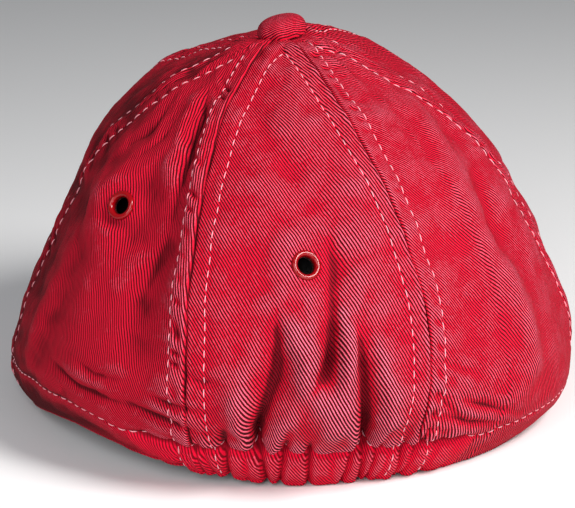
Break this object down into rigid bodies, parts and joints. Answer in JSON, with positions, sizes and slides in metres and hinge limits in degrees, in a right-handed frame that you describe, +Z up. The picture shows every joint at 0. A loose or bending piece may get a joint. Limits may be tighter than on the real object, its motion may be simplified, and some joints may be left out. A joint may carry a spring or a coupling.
{
  "type": "bump cap",
  "caption": "Baseball-style bump cap: panelled twill cover with a peak, top button and gathered elastic back, over a padded hard shell insert.",
  "frame": {"origin": "middle of the cap's footprint, on the plane it stands on", "axes": "+Z up, +Y towards the peak, +X to the wearer's right"},
  "size_m": [0.1992, 0.2878, 0.1414],
  "materials": {
    "twill": "red cotton drill, diagonal ribs, worn pink on the edges",
    "elastic": "knitted elastic, off-white",
    "tape": "woven cotton seam tape, red",
    "buckram": "stiffened open-weave cotton, off-white",
    "label": "woven satin label, blank",
    "sweatband": "brushed cotton sweatband, red",
    "eyelet_enamel": "glossy red enamel",
    "bare_metal": "satin",
    "peak_plastic": "polyethylene board",
    "shell_plastic": "fine textured ABS, black",
    "foam": "closed-cell foam pad, black"
  },
  "bodies": {
    "insert": {"hard_shell": "shell_plastic", "crown_pad": "foam", "front_pad": "foam", "rear_pad": "foam", "right_pad": "foam", "left_pad": "foam"},
    "cover": {"rear_panel": "twill", "right_rear_panel": "twill", "left_rear_panel": "twill", "right_front_panel": "twill", "left_front_panel": "twill", "front_panel": "twill", "seam_tapes": "tape", "front_stiffener": "buckram", "care_label": "label", "sweatband": "sweatband", "rear_eyelet": "eyelet_enamel", "left_rear_eyelet": "eyelet_enamel", "rear_eyelet_washer": "bare_metal", "left_rear_eyelet_washer": "bare_metal", "button_cover": "twill", "button_core": "bare_metal", "button_rivet": "bare_metal", "peak_top_cover": "twill", "peak_board": "peak_plastic", "peak_under_cover": "twill"},
    "rear_band": {"rear_casing": "twill", "elastic_band": "elastic"}
  },
  "joints": [
    {"name": "cover_lift", "type": "slide", "parent": "insert", "child": "cover", "axis": [0, 0, 1], "range_m": [0, 0.15]},
    {"name": "rear_stretch", "type": "slide", "parent": "cover", "child": "rear_band", "axis": [0, -1, 0], "range_m": [0, 0.014], "stiffness_N_per_m": 300}
  ]
}
